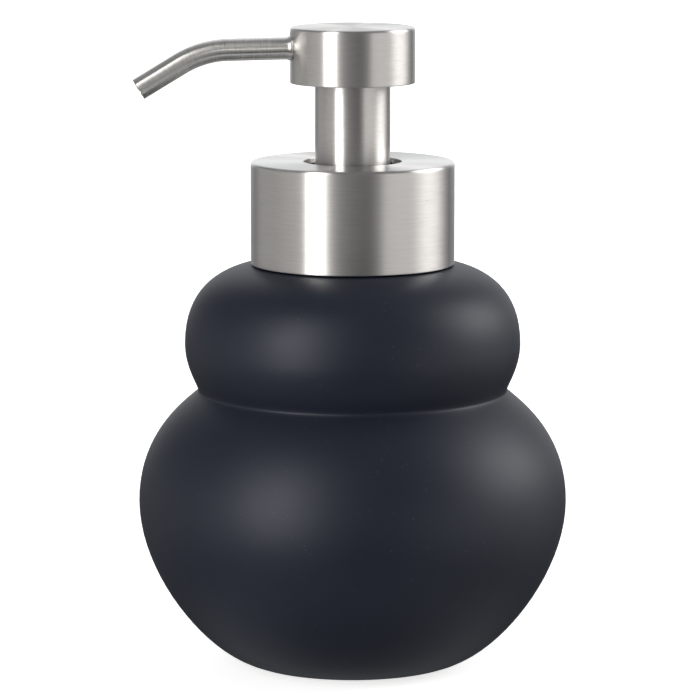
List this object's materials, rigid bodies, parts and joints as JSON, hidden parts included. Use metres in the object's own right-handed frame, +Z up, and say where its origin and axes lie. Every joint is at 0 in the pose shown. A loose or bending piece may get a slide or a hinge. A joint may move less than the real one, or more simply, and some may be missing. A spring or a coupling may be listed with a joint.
{
  "type": "soap pump dispenser",
  "caption": "Foaming soap dispenser: two-bulge matte black ceramic bottle with a screw-on brushed steel pump, bent spout, dip tube and return spring.",
  "frame": {"origin": "centre of the foot pad's underside, on the bottle's axis", "axes": "+Z up along the pump's axis, spout along -X when the head is at rest, +Y to the left as seen from the spout looking at the head"},
  "size_m": [0.111, 0.11, 0.1639],
  "materials": {
    "matte_ceramic": "smooth matte black glaze",
    "pad_rubber": "soft matte",
    "black_plastic": "moulded satin",
    "clear_silicone": "milky translucent",
    "brushed_steel": "brushed round the axis",
    "spout_steel": "satin, brushed round the tube",
    "natural_plastic": "natural translucent",
    "white_plastic": "moulded, slightly glossy",
    "polished_steel": "bright drawn and polished",
    "mesh_nylon": "fine woven screen"
  },
  "bodies": {
    "bottle": {"bottle": "matte_ceramic", "base_pad": "pad_rubber", "neck_insert": "black_plastic"},
    "gasket": {"bottle_gasket": "clear_silicone"},
    "housing": {"pump_cylinder": "natural_plastic", "dip_tube": "natural_plastic", "return_spring": "polished_steel"},
    "closure": {"closure": "black_plastic", "collar_shell": "brushed_steel"},
    "inlet_ball": {"inlet_ball": "polished_steel"},
    "plunger": {"air_piston": "white_plastic", "air_valve": "clear_silicone", "liquid_piston": "white_plastic", "liquid_seal": "clear_silicone"},
    "outlet_ball": {"outlet_ball": "polished_steel"},
    "head": {"stem_core": "black_plastic", "stem_sleeve": "brushed_steel", "mesh_cartridge": "white_plastic", "lower_mesh": "mesh_nylon", "upper_mesh": "mesh_nylon", "head_core": "black_plastic", "head_shell": "brushed_steel", "spout_tube": "spout_steel", "spout_liner": "natural_plastic"}
  },
  "joints": [
    {"name": "pump_lift", "type": "slide", "parent": "bottle", "child": "gasket", "axis": [0, 0, 1], "range_m": [0, 0.13]},
    {"name": "pump_rise", "type": "slide", "parent": "gasket", "child": "housing", "axis": [0, 0, 1], "range_m": [0, 0.00635]},
    {"name": "closure_turn", "type": "hinge", "parent": "housing", "child": "closure", "pos_m": [0, 0, 0.1167], "axis": [0, 0, 1], "range_deg": [0, 540]},
    {"name": "inlet_ball_lift", "type": "slide", "parent": "housing", "child": "inlet_ball", "axis": [0, 0, 1], "range_m": [0, 0.0015]},
    {"name": "pump_stroke", "type": "slide", "parent": "housing", "child": "plunger", "axis": [0, 0, -1], "range_m": [0, 0.016], "stiffness_N_per_m": 600, "springref_m": -0.01, "deforming": ["return_spring"]},
    {"name": "outlet_ball_lift", "type": "slide", "parent": "plunger", "child": "outlet_ball", "axis": [0, 0, 1], "range_m": [0, 0.0012]},
    {"name": "head_swivel", "type": "hinge", "parent": "plunger", "child": "head", "pos_m": [0, 0, 0.1568], "axis": [0, 0, 1], "continuous": true}
  ],
  "couplings": [
    {"joint": "pump_rise", "follows": "closure_turn", "m_per_rad": 0.00067375}
  ]
}
